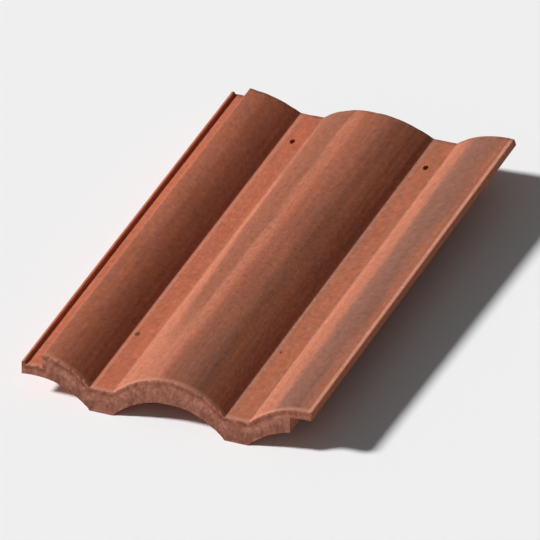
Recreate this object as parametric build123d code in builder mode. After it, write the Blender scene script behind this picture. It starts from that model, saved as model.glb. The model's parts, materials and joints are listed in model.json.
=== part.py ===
"""Interlocking roof tile with two rolls, in millimetres.

The tile is drawn in its section: X runs across the roof, Y up the slope from the nose
to the head, and Z is zero on the top of the pans. It is then set down as it lies on a
level floor, on its nose and its two nibs.
"""

import os
from math import atan2, cos, degrees, radians, sin, tan

from build123d import *

# Sizes across the roof
cover_width = 300.0
roll_count = 2
pan_width = 26.0
roll_height = 20.5
crease_radius = 2.5

# Sizes through the tile and along it
length = 420.0
body_thickness = 12.0
nose_depth = 20.0
nose_rake = 26.0
nose_edge_radius = 0.9

# Side lock: the lip of one tile covers the tongue of the next
joint_past_crest = 8.0
tongue_width = 23.0
joint_gap = 1.6
lip_thickness = 7.4
rib_clearance = 1.2
rib_width = 4.0
rib_height = 3.0
lock_edge_radius = 1.2
root_width = 8.0
root_fillet = 1.0

# The rib under the nose, and the weather bars behind it, which close the head lap
nose_rib_width = 26.0
weather_bar_count = 2
weather_bar_width = 10.0
weather_bar_gap = 20.0

# Nibs that hang on the batten, and the nail holes in front of them
nib_width = 30.0
nib_length = 18.0
nib_height = 16.0
nib_draft = 8.0
nib_radius = 2.0
nib_from_head = 4.0
nail_hole_diameter = 5.5
nail_from_nib = 18.0

# Worked out from the sizes above
pitch = cover_width / roll_count
half_roll = (pitch - pan_width) / 2
rib_drop = lip_thickness + rib_clearance
channel_drop = rib_drop + rib_height
lip_end = cover_width - joint_gap
notch = cover_width - tongue_width - joint_gap
crests = [k * pitch - joint_past_crest for k in range(roll_count + 1)]
pans = [(left + right) / 2 for left, right in zip(crests, crests[1:])]
hanging_length = length - nib_from_head - nib_length
margin = 2 * pitch


def across(y):
    """The plane across the tile at y. Its normal points to the nose."""
    return Plane(origin=(0, y, 0), x_dir=(1, 0, 0), z_dir=(0, -1, 0))


def profile(drop=0.0):
    """The face below the tile's top line. drop lowers the line."""
    left, right = crests[0] - half_roll - pan_width, crests[-1] + half_roll + pan_width
    with BuildSketch() as region:
        with BuildLine():
            foot = (left, -drop)
            for crest in crests:
                rise = (crest - half_roll, -drop)
                Line(foot, rise)
                foot = (crest + half_roll, -drop)
                ThreePointArc(rise, (crest, roll_height - drop), foot)
            Polyline(foot, (right, -drop), (right, -margin), (left, -margin), (left, -drop))
        make_face()
        feet = region.vertices().filter_by(lambda v: abs(v.Y + drop) < 0.001 and left < v.X < right)
        fillet(feet, radius=crease_radius)
    return region.sketch


def strip(left, right):
    """A tall face from left to right, which keeps one part of the section."""
    with BuildSketch() as mask:
        with Locations(((left + right) / 2, 0)):
            Rectangle(right - left, margin)
    return mask.sketch


def layer(upper, lower, left, right):
    """The part of the section between two lines, from left to right."""
    with BuildSketch() as band:
        add(upper)
        add(lower, mode=Mode.SUBTRACT)
        add(strip(left, right), mode=Mode.INTERSECT)
    return band.sketch


def top_corner(section, x):
    """The highest corner of the section at x."""
    return section.vertices().filter_by(lambda v: abs(v.X - x) < 0.001).sort_by(Axis.Y)[-1]


# The body is as thick square to its surface everywhere. The nose, the weather bars and
# the side lock reach down to the line on which the tile below nests
below_top = profile()
below_nest = profile(nose_depth)
with BuildSketch() as below_body:
    add(below_top)
    offset(amount=-body_thickness, kind=Kind.INTERSECTION)

with BuildSketch() as tile_section:
    add(layer(below_top, below_nest, 0, notch))
    add(layer(below_top, profile(lip_thickness), notch, lip_end))
    add(layer(profile(channel_drop), below_nest, -tongue_width, 0))
    add(layer(profile(rib_drop), below_nest, -tongue_width, rib_width - tongue_width))
    lock_edges = [top_corner(tile_section, x) for x in (-tongue_width, rib_width - tongue_width, 0, lip_end)]
    fillet(lock_edges, radius=lock_edge_radius)

with BuildSketch() as hollow_section:
    add(layer(below_body.sketch, below_nest, root_width, notch - root_width))
    sides = hollow_section.vertices().group_by(Axis.X)
    fillet([sides[0].sort_by(Axis.Y)[-1], sides[-1].sort_by(Axis.Y)[-1]], radius=root_fillet)

with BuildPart() as roof_tile:
    with BuildSketch(across(0)):
        add(tile_section.sketch)
    extrude(amount=-length)

    # Hollows in the underside, which leave the weather bars standing between them
    for bar in range(weather_bar_count + 1):
        start = nose_rib_width + bar * (weather_bar_gap + weather_bar_width)
        end = length if bar == weather_bar_count else start + weather_bar_gap
        with BuildSketch(across(start)):
            add(hollow_section.sketch)
        extrude(amount=start - end, mode=Mode.SUBTRACT)

    # Nibs, which start inside the body
    nib_rise = body_thickness / 2 + nib_height
    with BuildSketch(*[Plane.YZ.offset(pan) for pan in pans]):
        with Locations((hanging_length + nib_length / 2, -body_thickness / 2 - nib_rise / 2)):
            Trapezoid(nib_length, nib_rise, 90 - nib_draft, rotation=180)
    extrude(amount=nib_width / 2, both=True)
    fillet(roof_tile.faces().sort_by(Axis.Z)[:roll_count].edges(), radius=nib_radius)

    # Nail holes over the batten
    with Locations([(pan, hanging_length - nail_from_nib, 0) for pan in pans]):
        Hole(nail_hole_diameter / 2)

    # Raked nose: one flat cut, which leans back from the foot of the nose
    rake = radians(nose_rake)
    cut = Plane(origin=(0, 0, -nose_depth), x_dir=(1, 0, 0), z_dir=(0, cos(rake), -sin(rake)))
    split(bisect_by=cut, keep=Keep.TOP)
    top_line = below_top.face().outer_wire()
    brow = roof_tile.faces().filter_by(cut).edges().filter_by(
        lambda edge: top_line.distance_to(Vertex(edge.center().X, edge.center().Z, 0)) < lock_edge_radius
    )
    fillet(brow, radius=nose_edge_radius)

# The tile lies on the foot of its nose and on the near edges of its nibs
nib_foot = body_thickness + nib_height
nib_near = hanging_length + (nib_height + body_thickness / 2) * tan(radians(nib_draft))
resting_angle = degrees(atan2(nib_foot - nose_depth, nib_near))
resting = roof_tile.part.rotate(Axis.X, resting_angle)
box = resting.bounding_box()
placed = resting.moved(Location((-box.center().X, -box.center().Y, -box.min.Z)))
placed.label = "roof_tile"

os.makedirs("parts", exist_ok=True)
export_step(placed, "parts/roof_tile.step")
print("resting angle", resting_angle, "size", placed.bounding_box().size, "volume", placed.volume)
print("brow edges", len(brow))
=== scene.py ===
# %% [markdown]
# # An interlocking clay roof tile
#
# A roof is covered with many of these, and this scene shows one of them by itself. Soft clay
# was shaped between a mould below and a profiled tool above, cut to length and fired. Two
# rounded rolls and two flat pans run from the nose, which lies on the tile below, up to the
# head. On the left a low tongue slides under the neighbour, and on the right a thin lip
# covers the next tile.
#
# The exact solid comes in as a fixed frame, and the scene never changes it. It makes a finer
# skin over the same shape, with the rough cut, the nicks and the colours of fired clay.

# %% Load the frame
import json
import math

import bmesh
import bpy
from mathutils import Matrix, Vector, kdtree, noise


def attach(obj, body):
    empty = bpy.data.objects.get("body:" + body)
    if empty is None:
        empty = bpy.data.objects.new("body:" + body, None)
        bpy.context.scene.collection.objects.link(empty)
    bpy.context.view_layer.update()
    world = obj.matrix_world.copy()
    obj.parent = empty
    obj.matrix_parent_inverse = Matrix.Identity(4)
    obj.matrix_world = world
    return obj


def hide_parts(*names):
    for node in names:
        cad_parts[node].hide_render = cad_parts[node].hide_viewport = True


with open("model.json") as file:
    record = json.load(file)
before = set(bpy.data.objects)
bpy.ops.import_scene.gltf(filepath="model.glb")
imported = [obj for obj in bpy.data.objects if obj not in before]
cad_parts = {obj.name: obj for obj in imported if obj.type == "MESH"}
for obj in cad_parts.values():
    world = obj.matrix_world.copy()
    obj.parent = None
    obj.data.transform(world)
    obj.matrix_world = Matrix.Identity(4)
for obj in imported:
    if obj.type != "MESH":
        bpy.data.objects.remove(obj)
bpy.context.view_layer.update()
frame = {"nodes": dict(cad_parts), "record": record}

# %% [markdown]
# ## A bench for the work
#
# The tile lies on the floor on its nose and on two nibs under its head, so it is tipped by
# a degree. The work could be done there, but it is simpler in the tile's own directions: X
# across the rolls, Y from nose to head and Z square to the pans. The nail holes are drilled
# square to the pans, so their axis in the record gives the tilt. Their places give the
# middles of the two pans, and half a pitch to each side stand the crests of the rolls.

# %% The tile's own directions, in millimetres
mounts = {mount["name"]: mount for mount in frame["record"]["mounts"]}
drill = Vector(mounts["left_nail_hole"]["axis"])
tilt = math.atan2(-drill.y, drill.z)
millimetre = 0.001
to_bench = Matrix.Rotation(-tilt, 4, "X") @ Matrix.Scale(1 / millimetre, 4)
to_floor = to_bench.inverted()
pans = [(to_bench @ Vector(mounts[side + "_nail_hole"]["pos_m"])).x for side in ("left", "right")]
pitch = pans[1] - pans[0]
crests = [pans[0] - pitch / 2, pans[0] + pitch / 2, pans[1] + pitch / 2]
print("tilt", round(math.degrees(tilt), 3), "pans", pans, "crests", crests)

# %% [markdown]
# ## The skin of the tile
#
# The solid's faces are few and large, which is right for a machine but too coarse for
# relief. The skin starts as a copy of it. A Subdivision Surface modifier would make more
# faces too, but it rounds every edge, and the foot of a roll has to stay a sharp line. So
# the copy's loose triangles are merged, flat areas are dissolved into single faces, and then
# straight knife cuts divide the copy into small cells. A cut moves nothing.

# %% Copy the solid to the bench
merge_distance = 0.005
flat_angle = math.radians(0.4)
clay = bmesh.new()
clay.from_mesh(frame["nodes"]["roof_tile"].data)
bmesh.ops.transform(clay, matrix=to_bench, verts=clay.verts)
bmesh.ops.remove_doubles(clay, verts=clay.verts, dist=merge_distance)
bmesh.ops.dissolve_limit(clay, angle_limit=flat_angle, verts=clay.verts, edges=clay.edges)
low = Vector([min(vert.co[k] for vert in clay.verts) for k in range(3)])
high = Vector([max(vert.co[k] for vert in clay.verts) for k in range(3)])
left, right, nose, head = low.x, high.x, low.y, high.y
print("faces before the cuts", len(clay.faces), "from", low, "to", high)

# %% [markdown]
# One flat face ends the nose, where the soft clay was cut off on a slant. It is the largest
# face that looks that way. How far a point lies behind it tells which parts the cut has
# roughened.

# %% The flat cut of the nose
cut_face = max(
    (face for face in clay.faces if face.normal.y < -0.5), key=lambda face: face.calc_area()
)
cut_way = cut_face.normal.copy()
cut_level = cut_face.calc_center_median().dot(cut_way)
across, along = Vector((1, 0, 0)), Vector((0, 1, 0))
up_cut = cut_way.cross(across)
print("the cut leans back by", round(math.degrees(math.atan2(cut_way.z, -cut_way.y)), 2), "degrees")


def behind_cut(spot):
    """How far a point lies behind the flat cut, in millimetres."""
    return cut_level - spot.dot(cut_way)


# %% [markdown]
# The knife is the bisect operator, which splits faces along a plane and leaves them joined.
# Cutting the whole tile at every place would be slow, because each cut looks at every face.
# So the middle place comes first, and the next cuts look only at their own half.


# %% Knife cuts
def steps(start, end, size):
    """Even places between start and end, about size apart."""
    count = max(1, round((end - start) / size))
    return [start + (end - start) * k / count for k in range(1, count)]


def slice_up(faces, places, way):
    """Cut the faces at each place along one direction, the middle place first."""
    if not places or not faces:
        return
    middle = len(places) // 2
    parts = dict.fromkeys(faces)
    for face in faces:
        parts.update(dict.fromkeys([*face.edges, *face.verts]))
    done = bmesh.ops.bisect_plane(
        clay, geom=list(parts), dist=0.0005, plane_co=way * places[middle], plane_no=way
    )
    halves = {True: [], False: []}
    for part in done["geom"]:
        if isinstance(part, bmesh.types.BMFace):
            halves[part.calc_center_median().dot(way) < places[middle]].append(part)
    slice_up(halves[True], places[:middle], way)
    slice_up(halves[False], places[middle + 1:], way)


# %% Wide cells on the smooth body
cell_across, cell_along = 3.0, 5.0
rough_depth = 4.0
slice_up(clay.faces[:], steps(left, right, cell_across), across)
slice_up(clay.faces[:], steps(nose, head, cell_along), along)
slice_up(clay.faces[:], [cut_level - rough_depth], cut_way)
print("faces after the wide cuts", len(clay.faces))


# %% Cells of a millimetre at the nose
def nose_faces():
    """The faces within the roughened depth behind the cut."""
    return [face for face in clay.faces if behind_cut(face.calc_center_median()) < rough_depth]


cell_nose = 1.0
slice_up(nose_faces(), steps(left, right, cell_nose), across)
slice_up(nose_faces(), steps(cut_level - rough_depth, cut_level, cell_nose), cut_way)
cut_faces = [face for face in nose_faces() if face.normal.dot(cut_way) > 0.9]
rises = [vert.co.dot(up_cut) for face in cut_faces for vert in face.verts]
slice_up(cut_faces, steps(min(rises), max(rises), cell_nose), up_cut)
clay.normal_update()
print("faces after the fine cuts", len(clay.faces))

# %% [markdown]
# ## Relief
#
# The body is smooth: only the lightest waves run along it, from the tool that shaped it. The
# cut dragged grit along, so that face is lumpy, with small pits, and its upper edge is
# nicked. A Displace modifier could press all this in, but here each place needs its own
# depth, so every point is moved along its normal instead, always inwards. It stays put where
# the tile stands on the floor. So the skin stays inside the solid, apart from the sharp
# lower edge of the cut, where a few points slip past the underside by up to 0.25 mm.
#
# Three values stay on each point for the finish: whether it is on a torn face, whether
# rain and dirt reach it from above, and how far it is from the upper edge of the cut, which
# is called the brow here.

# %% Torn faces and the weather side
torn_layer = clay.verts.layers.float.new("torn")
weather_layer = clay.verts.layers.float.new("weather")
brow_layer = clay.verts.layers.float.new("brow")
for face in clay.faces:
    at_nose = face.normal.y < -0.3 and behind_cut(face.calc_center_median()) < rough_depth
    at_head = face.normal.y > 0.9
    for vert in face.verts:
        if at_nose or at_head:
            vert[torn_layer] = 1.0
        elif face.normal.z > 0.2:
            vert[weather_layer] = 1.0
both_sides = [vert for vert in clay.verts if vert[torn_layer] and vert[weather_layer]]
brow = [vert for vert in both_sides if vert.co.y < head - 1]
print("torn points", sum(vert[torn_layer] > 0 for vert in clay.verts), "on the brow", len(brow))

# %% Distance from the brow
brow_points = kdtree.KDTree(len(brow))
for index, vert in enumerate(brow):
    brow_points.insert(vert.co, index)
brow_points.balance()
far_off = 30.0
for vert in clay.verts:
    near = vert.co.y < nose + 2 * far_off and (vert[torn_layer] or vert[weather_layer])
    vert[brow_layer] = min(brow_points.find(vert.co)[2], far_off) if near else far_off
print("points near the brow", sum(vert[brow_layer] < far_off for vert in clay.verts))

# %% How deep each point is pressed in
tool_wave, slow_wave = 0.08, 0.06
lump_depth, crumb_depth = 0.25, 0.11
grit_spacing, grit_depth, grit_reach = 6.5, 0.7, 0.30
edge_wear, nick_depth, brow_width = 0.15, 2.2, 2.2
head_chip = 0.6
foot_rise, foot_still = 1.5, 0.05


def bumps(spot, size, shift=(0, 0, 0)):
    """Smooth noise from -1 to 1, in cells of this size in millimetres."""
    return noise.noise(spot / size + Vector(shift))


def press(vert):
    """The depth in millimetres at one point of the skin."""
    spot = vert.co
    at_head = spot.y > head - 1
    depth = tool_wave * (1 + noise.noise(Vector((spot.x / 9, spot.y / 170, spot.z / 9))))
    depth += slow_wave * (1 + bumps(spot, 19))
    if vert[torn_layer] and not at_head:
        knobs = lump_depth * (1 + bumps(spot, 4.6, (7, 0, 0)))
        depth += knobs + crumb_depth * (1 + bumps(spot, 2.1))
        to_grit = noise.voronoi(spot / grit_spacing)[0][0]
        depth += grit_depth * max(0.0, 1 - to_grit / grit_reach) ** 2
    if vert[brow_layer] < brow_width and not at_head:
        nick = max(0.0, bumps(spot, 4.0, (0, 19, 0)) - 0.05)
        depth += (edge_wear + nick_depth * nick) * (1 - vert[brow_layer] / brow_width)
    if vert[torn_layer] and vert[weather_layer] and at_head:
        depth += head_chip * max(0.0, bumps(spot, 9))
    above_floor = (to_floor @ spot).z / millimetre
    return max(0.0, depth) * min(1.0, max(0.0, above_floor - foot_still) / foot_rise)


# %% Press the relief in
depths = {vert: press(vert) for vert in clay.verts}
for vert, depth in depths.items():
    vert.co -= vert.normal * depth
print("deepest", round(max(depths.values()), 2), "mm")

# %% Put the skin in the scene
sharp_angle = math.radians(38)
clay.normal_update()
for edge in clay.edges:
    edge.smooth = not (edge.is_manifold and edge.calc_face_angle() > sharp_angle)
skin = bpy.data.meshes.new("tile_skin")
bmesh.ops.transform(clay, matrix=to_floor, verts=clay.verts)
clay.to_mesh(skin)
clay.free()
skin.polygons.foreach_set("use_smooth", [True] * len(skin.polygons))
tile = bpy.data.objects.new("tile_skin", skin)
bpy.context.collection.objects.link(tile)
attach(tile, "root")
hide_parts("roof_tile")
print("triangles", sum(len(face.vertices) - 2 for face in skin.polygons))

# %% [markdown]
# ## Shader maths
#
# A shader is easier to read as sums than as a drawing of nodes. This class holds one
# socket, and each operator on it adds the Math node that does the sum. Colours go through
# Mix nodes, because a Math node would turn them grey.


# %% A socket that can be added and multiplied
class Socket:
    tree = None

    def __init__(self, output):
        self.output = output

    @classmethod
    def node(cls, kind, settings=None, inputs=None, output=0):
        """Add a node, set it up, feed its inputs, and hand back one of its outputs."""
        made = cls.tree.nodes.new(kind)
        for name, value in (settings or {}).items():
            setattr(made, name, value)
        for name, value in (inputs or {}).items():
            socket = made.inputs[name]
            if isinstance(value, Socket):
                cls.tree.links.new(value.output, socket)
            else:
                socket.default_value = value
        return cls(made.outputs[output])

    def maths(self, operation, first, second=0.0):
        return Socket.node("ShaderNodeMath", {"operation": operation}, {0: first, 1: second})

    def __add__(self, other):
        return self.maths("ADD", self, other)

    def __radd__(self, other):
        return self.maths("ADD", other, self)

    def __sub__(self, other):
        return self.maths("SUBTRACT", self, other)

    def __rsub__(self, other):
        return self.maths("SUBTRACT", other, self)

    def __mul__(self, other):
        return self.maths("MULTIPLY", self, other)

    def __rmul__(self, other):
        return self.maths("MULTIPLY", other, self)

    def __abs__(self):
        return self.maths("ABSOLUTE", self)

    def ramp(self, start, end, low=0.0, high=1.0):
        """A soft step: low before start, high after end."""
        return Socket.node(
            "ShaderNodeMapRange",
            {"interpolation_type": "SMOOTHSTEP"},
            {"Value": self, "From Min": start, "From Max": end, "To Min": low, "To Max": high},
        )

    def band(self, start, end, soft):
        """One between start and end, fading to zero over soft millimetres on both sides."""
        to_middle = abs(self - (start + end) / 2)
        return to_middle.ramp((end - start - soft) / 2, (end - start + soft) / 2, 1.0, 0.0)


# %% [markdown]
# Colours are written as they look on a screen, from 0 to 255, and turned into the linear
# values that a shader adds and multiplies. Dirt and shade darken what lies under them, so
# they are tints, which multiply, and lime covers it, so it is blended over.


# %% Colours
def linear(red, green, blue):
    """A colour written as on a screen, as the linear values a shader needs."""
    parts = [value / 255 for value in (red, green, blue)]
    return (*(((v + 0.055) / 1.055) ** 2.4 if v > 0.04 else v / 12.92 for v in parts), 1.0)


def blend(first, second, amount, kind="MIX"):
    """The second colour over the first one."""
    settings = {"data_type": "RGBA", "blend_type": kind, "clamp_factor": True}
    return Socket.node("ShaderNodeMix", settings, {0: amount, 6: first, 7: second}, output=2)


def tint(colour, factors, amount):
    """The colour, with its red, green and blue multiplied where amount is one."""
    return blend(colour, (*factors, 1.0), amount, "MULTIPLY")


def speckle(colour, spots, darker, paler):
    """Darker and paler spots, each given as factors of red, green and blue."""
    colour = tint(colour, darker, spots.ramp(0.50, 0.72))
    return tint(colour, paler, spots.ramp(0.50, 0.28))


# %% [markdown]
# ## Fired clay
#
# The clay is a warm orange brown. Several things change it, and each is one layer here,
# roughly in the order in which they came to the real tile. A painted picture could hold them
# all, but it would blur close up. Layers of noise stay sharp, and each one can be changed by
# itself.
# All of them read the place on the tile in its own directions, in millimetres.

# %% Places on the tile
clay_finish = bpy.data.materials.new("fired_clay_finish")
clay_finish.use_nodes = True
skin.materials.append(clay_finish)
Socket.tree = clay_finish.node_tree
shader = Socket.tree.nodes["Principled BSDF"]
place = Socket.node("ShaderNodeTexCoord", output="Object")
per_metre = (1 / millimetre,) * 3
turned = Socket.node(
    "ShaderNodeMapping", None, {"Vector": place, "Rotation": (-tilt, 0, 0), "Scale": per_metre}
)
x = Socket.node("ShaderNodeSeparateXYZ", None, {0: turned}, output="X")
up_tile = Socket.node("ShaderNodeSeparateXYZ", None, {0: turned}, output="Y") - nose
torn, weather, brow_distance = (
    Socket.node("ShaderNodeAttribute", {"attribute_name": name}, output="Fac")
    for name in ("torn", "weather", "brow")
)


def in_cells(size):
    """The place on the tile, counted in cells of this size in millimetres."""
    return Socket.node("ShaderNodeVectorMath", {"operation": "DIVIDE"}, {0: turned, 1: size})


def cloud(width, length=None, detail=2.0, roughness=0.5):
    """Soft noise between 0 and 1, in cells of this width and length."""
    cells = in_cells((width, length or width, width))
    inputs = {"Vector": cells, "Scale": 1.0, "Detail": detail, "Roughness": roughness}
    return Socket.node("ShaderNodeTexNoise", None, inputs)


print("nodes for the places", len(Socket.tree.nodes))

# %% [markdown]
# The kiln leaves slow patches and a fine mottle. The shaping tool leaves faint streaks along
# the tile, and small spots turn a little cooler or warmer. The right half of the tile came
# out a little duller.

# %% The clay itself
patches = cloud(75, 140)
mottle = cloud(5.5, detail=3.0, roughness=0.6)
grain = cloud(2.8)
streaks = cloud(8, 200, detail=3.0, roughness=0.55)
warmth = cloud(12, 26, detail=4.0, roughness=0.65)
body = blend(linear(181, 103, 77), linear(192, 110, 82), patches.ramp(0.35, 0.65))
body = tint(body, (0.82, 0.91, 0.93), x.ramp(crests[1], pans[1]))
body = blend(body, linear(168, 94, 69), streaks.ramp(0.50, 0.72) * 0.35)
body = tint(body, (0.95, 1.02, 1.13), warmth.ramp(0.50, 0.68))
body = tint(body, (1.04, 0.99, 0.86), warmth.ramp(0.50, 0.32))
print("nodes for the clay", len(Socket.tree.nodes))

# %% [markdown]
# The left flanks of the rolls, which face the sun, are drawn paler: a painted sheen. The
# right flanks, which turn away from it, are drawn darker brown: a painted shade. Every edge
# between them runs along the tile and only wanders by a few millimetres.

# %% Painted sheen and painted shade on the flanks
wander = (cloud(11, 60, detail=3.0, roughness=0.6) - 0.5) * 16
soft_x = x + wander
for crest in crests:
    # Painted sheen: the left flank, which faces the sun, is drawn paler.
    painted_sheen_flank = soft_x.band(crest - 66, crest - 12, 14)
    body = blend(body, linear(178, 111, 86), painted_sheen_flank * weather * 0.9)
    # Painted shade: the right flank, which turns away from the sun, is drawn darker brown.
    painted_shade_flank = soft_x.band(crest + 25, crest + 53, 20)
    body = tint(body, (0.74, 0.73, 0.69), painted_shade_flank * weather)
print("nodes with the flanks", len(Socket.tree.nodes))

# %% [markdown]
# Grey dirt lies in soft bands: from the crest of the whole roll down its right side, along
# the last roll, and as a streak on the left of the whole roll, which fades towards the nose.
# Narrow trickles, darker and paler, run down the whole tile.

# %% Bands of dirt
wash = soft_x.band(crests[1] - 9, crests[1] + 35, 18) * (1.0 - 0.3 * up_tile.ramp(50, 220))
body = tint(body, (0.57, 0.68, 0.74), wash * weather)
along_lip = (soft_x + up_tile * 0.01 - 2).band(crests[2] - 38, crests[2] - 8, 16)
body = tint(body, (0.56, 0.67, 0.78), along_lip * weather)
streak = (soft_x + up_tile * 0.06).ramp(crests[1] - 43, crests[1] - 31)
streak = streak * soft_x.ramp(crests[1] - 27, crests[1] - 17, 1.0, 0.0)
streak = streak * (up_tile + wander * 2).ramp(50, 150)
body = tint(body, (0.64, 0.63, 0.62), streak * weather)
trickles = cloud(5, 150, detail=3.0, roughness=0.55)
body = speckle(body, trickles, (0.92, 0.92, 0.93), (1.07, 1.07, 1.06))
print("nodes with the dirt", len(Socket.tree.nodes))

# %% [markdown]
# Pale lime outlines the feet of the rolls and both edges of the side joint. It settles where
# water stands, so it is broken up by the mottle.

# %% Lime lines
lime = 0.0
for start, end, soft, strength in (
    (pans[0] - 13.5, pans[0] - 9, 2, 0.65),
    (pans[1] - 13.5, pans[1] - 9, 2, 0.25),
    (crests[0] + 7, crests[0] + 10.5, 1.5, 0.4),
    (crests[2] + 2, crests[2] + 8, 2, 1.6),
):
    lime = lime + strength * x.band(start, end, soft)
body = blend(body, linear(207, 141, 118), lime * weather * (0.35 + 0.6 * mottle))
print("nodes with the lime", len(Socket.tree.nodes))

# %% [markdown]
# Between the lines the clay turns a little cooler or warmer where water runs slowly: along the
# feet of the rolls, in the pans and beside the side joint. One strip, in the crease at the foot
# of the last roll beside the right pan, is darker instead: painted shade in that crease. These
# strips are too faint for a colour of their own, so each one is only a tint.

# %% Faint strips along the water's way
lined_x = x + wander * 0.2
for start, end, soft, factors in (
    (crests[0] + 11, crests[0] + 24, 6, (0.90, 0.98, 1.00)),
    (crests[0] + 24, crests[0] + 31, 5, (1.00, 1.07, 1.12)),
    (pans[0] + 4, pans[0] + 10.5, 4, (1.00, 0.93, 0.88)),
    (pans[1] - 14, pans[1] - 8, 4, (0.88, 1.03, 1.12)),
    (pans[1] + 4, pans[1] + 10.5, 4, (0.98, 0.94, 0.90)),
    # Painted shade in the crease at the foot of the last roll.
    (pans[1] + 11, pans[1] + 15, 3, (0.86, 0.88, 0.90)),
    (crests[2] - 52, crests[2] - 40, 8, (0.94, 0.94, 0.95)),
    (crests[2] - 11, crests[2] + 1, 6, (0.90, 0.97, 1.03)),
):
    body = tint(body, factors, lined_x.band(start, end, soft) * weather)
print("nodes with the strips", len(Socket.tree.nodes))

# %% [markdown]
# Mottle and grain are the same on dirt and clay, so they come over both. A few pits are
# left where a stone has dropped out, one in each of some large cells, and one larger hole
# lies in the left pan.

# %% Mottle and pits
body = speckle(body, mottle, (0.85, 0.85, 0.85), (1.15, 1.15, 1.15))
body = speckle(body, grain, (0.90, 0.90, 0.90), (1.10, 1.10, 1.10))
one_per_cell = {"Vector": in_cells((45, 45, 45)), "Scale": 1.0}
to_stone = Socket.node("ShaderNodeTexVoronoi", None, one_per_cell, output="Distance")
hole_at = (pans[0] - 6.5, nose + 90, high.z - 20.5)
measure = {"operation": "DISTANCE"}
to_hole = Socket.node("ShaderNodeVectorMath", measure, {0: turned, 1: hole_at}, output="Value")
pits = to_stone.ramp(0.022, 0.045, 1.0, 0.0)
pits = pits.maths("MAXIMUM", pits, to_hole.ramp(1.8, 3.6, 1.0, 0.0))
body = blend(body, linear(95, 45, 32), pits * 0.8)
print("nodes with the pits", len(Socket.tree.nodes))

# %% [markdown]
# The cut shows the duller inside of the clay, coarse and full of grit. A darker line under its
# upper edge is painted shade under the brow, and the cut is darker again in its lower half.
# The edge itself is drawn pale, most of all on top: a painted highlight where the rounded brow
# catches the light.

# %% The torn nose
lumps = cloud(8.5, detail=4.0, roughness=0.65)
torn_clay = blend(linear(174, 114, 94), linear(147, 92, 75), lumps.ramp(0.38, 0.62))
torn_clay = speckle(torn_clay, mottle, (0.88, 0.86, 0.85), (1.12, 1.13, 1.14))
torn_clay = speckle(torn_clay, grain, (0.83, 0.81, 0.80), (1.18, 1.20, 1.22))
# Painted shade: a darker line just under the brow.
torn_clay = tint(torn_clay, (0.78, 0.70, 0.64), brow_distance.band(0.8, 4.6, 2.4))
torn_clay = tint(torn_clay, (0.77, 0.77, 0.77), brow_distance.ramp(8.0, 14.0))
clay_colour = blend(body, torn_clay, torn)
# Painted highlight: the brow is drawn pale where its rounded edge catches the light.
painted_highlight_top = brow_distance.ramp(2.0, 6.0, 1.0, 0.0) * (1.0 - torn)
painted_highlight_cut = brow_distance.ramp(0.4, 2.0, 1.0, 0.0) * torn
painted_brow_highlight = (painted_highlight_top + 0.5 * painted_highlight_cut) * (0.1 + 0.7 * mottle)
clay_colour = blend(clay_colour, linear(203, 143, 121), painted_brow_highlight)
print("nodes with the torn nose", len(Socket.tree.nodes))

# %% [markdown]
# The grain and the small pits are too fine for the mesh, so a Bump node only tilts the light
# on them. This clay has no glaze: it is rough all over, and its highlights are weak. That is
# the same everywhere, so the specular level is set on the shader itself.

# %% Wire up the finish
relief = mottle * 0.5 + grain * 0.5 - pits * 1.2 + lumps * torn * 1.2
bump = Socket.node("ShaderNodeBump", None, {"Height": relief, "Distance": 0.0005, "Strength": 0.5})
roughness = 0.82 + 0.12 * grain
for name, value in (("Base Color", clay_colour), ("Roughness", roughness), ("Normal", bump)):
    Socket.tree.links.new(value.output, shader.inputs[name])
shader.inputs["Specular IOR Level"].default_value = 0.12
print("nodes in the finish", len(Socket.tree.nodes))

# %% [markdown]
# ## The studio
#
# A pale floor, one broad sun from the left and a weak even sky. Softer lamps would hide the
# shape: across the rolls the sun stands only 36 degrees high, which leaves the left flanks
# bright and the right ones brown.

# %% Floor
bpy.ops.mesh.primitive_plane_add(size=12)
floor = bpy.context.object
floor.name = "floor"
floor_paint = bpy.data.materials.new("floor_paint")
floor_paint.use_nodes = True
floor_shader = floor_paint.node_tree.nodes["Principled BSDF"]
floor_shader.inputs["Base Color"].default_value = (0.9, 0.9, 0.9, 1)
floor_shader.inputs["Roughness"].default_value = 0.9
floor.data.materials.append(floor_paint)
print("floor", list(floor.dimensions), "m")

# %% Sun
sun_data = bpy.data.lights.new("key", "SUN")
sun_data.energy = 4.5
sun_data.angle = math.radians(8)
sun = bpy.data.objects.new("key", sun_data)
bpy.context.collection.objects.link(sun)
light_from = Vector((-0.80, -0.12, 0.582))
sun.rotation_euler = light_from.to_track_quat("Z", "Y").to_euler()
height = math.degrees(math.atan2(light_from.z, -light_from.x))
print("height of the sun across the rolls", round(height, 1), "degrees")

# %% [markdown]
# The sky lights the tile at a tenth of white, so that the shadows stay clear. What the
# camera sees of it directly, or in a reflection or through glass, is plain white, which adds
# next to no light to a tile as matt as this.

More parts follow.
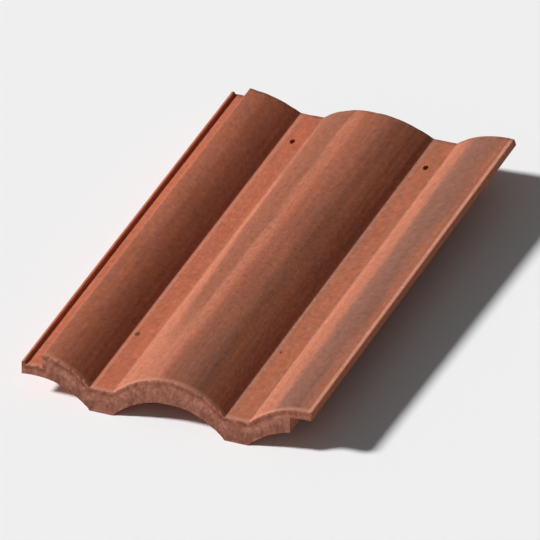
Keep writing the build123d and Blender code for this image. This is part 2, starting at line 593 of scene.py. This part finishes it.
# %% Sky
sky_light, sky_seen = 0.10, 1.0
world = bpy.context.scene.world or bpy.data.worlds.new("studio")
bpy.context.scene.world = world
world.use_nodes = True
Socket.tree = world.node_tree
to_camera, in_gloss, through_glass = (
    Socket.node("ShaderNodeLightPath", output=name)
    for name in ("Is Camera Ray", "Is Glossy Ray", "Is Transmission Ray")
)
seen = to_camera.maths("MAXIMUM", to_camera, in_gloss)
seen = seen.maths("MAXIMUM", seen, through_glass)
strength = seen.ramp(0.0, 1.0, sky_light, sky_seen)
sky = Socket.tree.nodes["Background"]
sky.inputs["Color"].default_value = (1, 1, 1, 1)
Socket.tree.links.new(strength.output, sky.inputs["Strength"])
print("sky light", sky_light, "sky as seen", sky_seen)

# %% [markdown]
# ## Camera
#
# The photograph was taken from far away with a long lens, from the right of the eaves and
# turned with the slope of the roof. These directions come from a fit to the rows of noses
# and joints, in the plane of the roof. On the roof a tile's nose is lifted by the tile
# below, which is the lap angle, and on this floor it is tipped the other way. The distance
# is the photograph's too, so the perspective matches, and a longer lens brings the one tile
# up to the size of the picture.

# %% Camera
lap_angle = math.radians(3.58)
roof_to_floor = Matrix.Rotation(lap_angle + tilt, 3, "X")
right_way = (roof_to_floor @ Vector((0.8468, 0.4713, -0.2466))).normalized()
forward = (roof_to_floor @ Vector((-0.5020, 0.5546, -0.6636))).normalized()
up_way = right_way.cross(forward).normalized()
right_way = forward.cross(up_way).normalized()
distance = 7.35
look_at = Vector((0.0, 0.0, 0.020))
photo_lens, enlarged = 308, 1.68
camera_data = bpy.data.cameras.new("camera")
camera_data.sensor_width = 36
camera_data.lens = photo_lens * enlarged
camera_data.clip_end = 50
camera = bpy.data.objects.new("camera", camera_data)
turn = Matrix((right_way, up_way, -forward)).transposed().to_4x4()
camera.matrix_world = Matrix.Translation(look_at - forward * distance) @ turn
bpy.context.collection.objects.link(camera)
bpy.context.scene.camera = camera
print("lens", camera_data.lens, "mm at", distance, "m")

# %% [markdown]
# ## Sizes
#
# The skin was only pressed inwards, so its box has to lie inside the solid's box, apart from
# rounding.

# %% Colour view, and the end
bpy.context.scene.view_settings.view_transform = "Standard"
bpy.context.view_layer.update()
